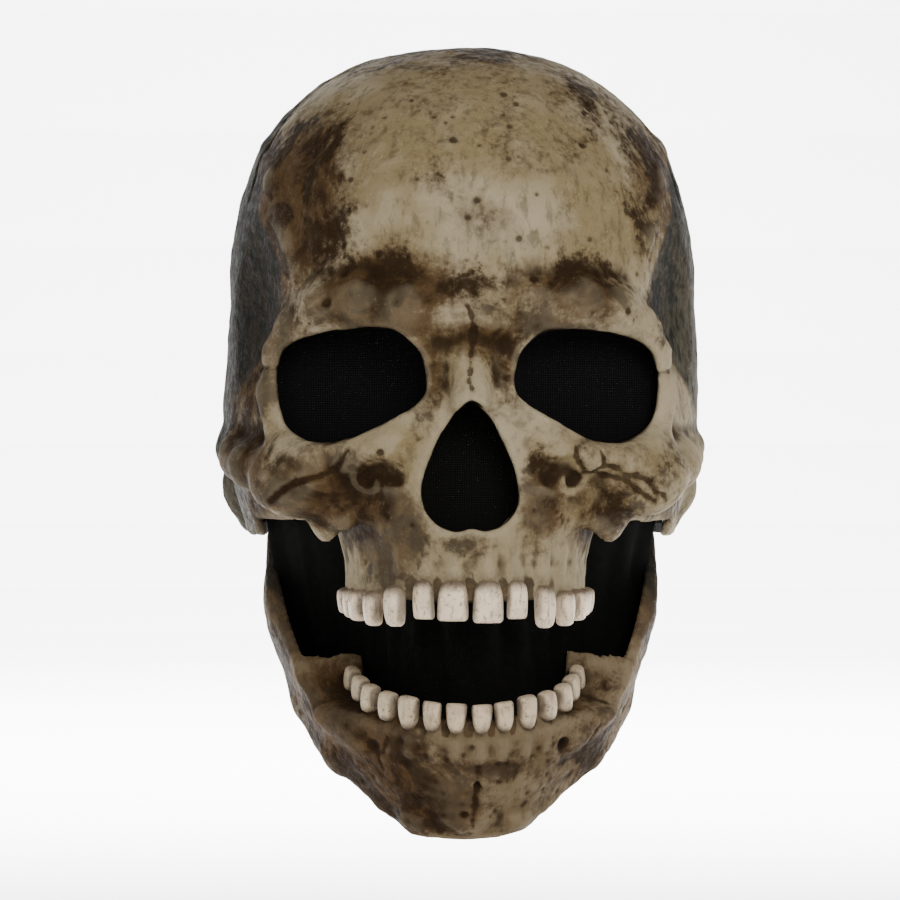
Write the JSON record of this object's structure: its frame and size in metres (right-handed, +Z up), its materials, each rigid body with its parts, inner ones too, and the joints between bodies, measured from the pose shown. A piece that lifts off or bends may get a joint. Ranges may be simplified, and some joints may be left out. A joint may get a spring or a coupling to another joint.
{
  "type": "latex halloween mask",
  "caption": "Full-head latex skull mask with hollow eye and nose openings, separate teeth and a hinged lower jaw that follows the wearer's chin.",
  "frame": {"origin": "midway between the two jaw pivots, at the middle of the wearer's head at ear level", "axes": "the face looks along -Y, +Z is up, +X is the wearer's left"},
  "size_m": [0.1973, 0.2369, 0.3106],
  "materials": {
    "skull_latex": "matt painted latex, aged-bone tan with brown and green-grey stains",
    "jaw_latex": "matt painted latex, dark brown bone with tan speckle",
    "upper_teeth": "satin painted latex, stained ivory",
    "lower_teeth": "satin painted latex, stained ivory",
    "eye_mesh": "black open net",
    "nose_mesh": "black open net",
    "veil_fabric": "black thin knit",
    "foam": "charcoal foam with a knitted face",
    "elastic": "black woven elastic",
    "patch_cloth": "black cotton twill",
    "hem_binding": "black cotton tape",
    "hinge_plastic": "moulded black nylon",
    "washer_nylon": "natural nylon",
    "insert_brass": "turned brass",
    "screw_steel": "turned steel",
    "plate_aluminium": "bare sheet"
  },
  "bodies": {
    "skull": {"cranium_shell": "skull_latex", "nose_mesh": "nose_mesh", "mouth_veil": "veil_fabric", "nape_strap": "elastic", "neck_hem": "hem_binding", "brow_pad": "foam", "crown_pad": "foam", "nape_pad": "foam", "temple_pad_left": "foam", "eye_mesh_left": "eye_mesh", "pivot_block_left": "hinge_plastic", "threaded_insert_left": "insert_brass", "pivot_washer_left": "washer_nylon", "pivot_screw_left": "screw_steel", "nape_patch_left": "patch_cloth", "temple_pad_right": "foam", "eye_mesh_right": "eye_mesh", "pivot_block_right": "hinge_plastic", "threaded_insert_right": "insert_brass", "pivot_washer_right": "washer_nylon", "pivot_screw_right": "screw_steel", "nape_patch_right": "patch_cloth", "upper_left_central_incisor": "upper_teeth", "upper_left_lateral_incisor": "upper_teeth", "upper_left_canine": "upper_teeth", "upper_left_first_premolar": "upper_teeth", "upper_left_second_premolar": "upper_teeth", "upper_left_first_molar": "upper_teeth", "upper_left_second_molar": "upper_teeth", "upper_right_central_incisor": "upper_teeth", "upper_right_lateral_incisor": "upper_teeth", "upper_right_canine": "upper_teeth", "upper_right_first_premolar": "upper_teeth", "upper_right_second_premolar": "upper_teeth", "upper_right_first_molar": "upper_teeth", "upper_right_second_molar": "upper_teeth"},
    "jaw": {"jaw_shell": "jaw_latex", "chin_cup": "foam", "chin_strap": "elastic", "jaw_plate_left": "plate_aluminium", "jaw_plate_right": "plate_aluminium", "chin_patch_left": "patch_cloth", "chin_patch_right": "patch_cloth", "lower_left_central_incisor": "lower_teeth", "lower_left_lateral_incisor": "lower_teeth", "lower_left_canine": "lower_teeth", "lower_left_first_premolar": "lower_teeth", "lower_left_second_premolar": "lower_teeth", "lower_left_first_molar": "lower_teeth", "lower_left_second_molar": "lower_teeth", "lower_right_central_incisor": "lower_teeth", "lower_right_lateral_incisor": "lower_teeth", "lower_right_canine": "lower_teeth", "lower_right_first_premolar": "lower_teeth", "lower_right_second_premolar": "lower_teeth", "lower_right_first_molar": "lower_teeth", "lower_right_second_molar": "lower_teeth"}
  },
  "joints": [
    {"name": "jaw_hinge", "type": "hinge", "parent": "skull", "child": "jaw", "pos_m": [0, 0, 0], "axis": [1, 0, 0], "range_deg": [-15, 0], "deforming": ["mouth_veil"]}
  ]
}
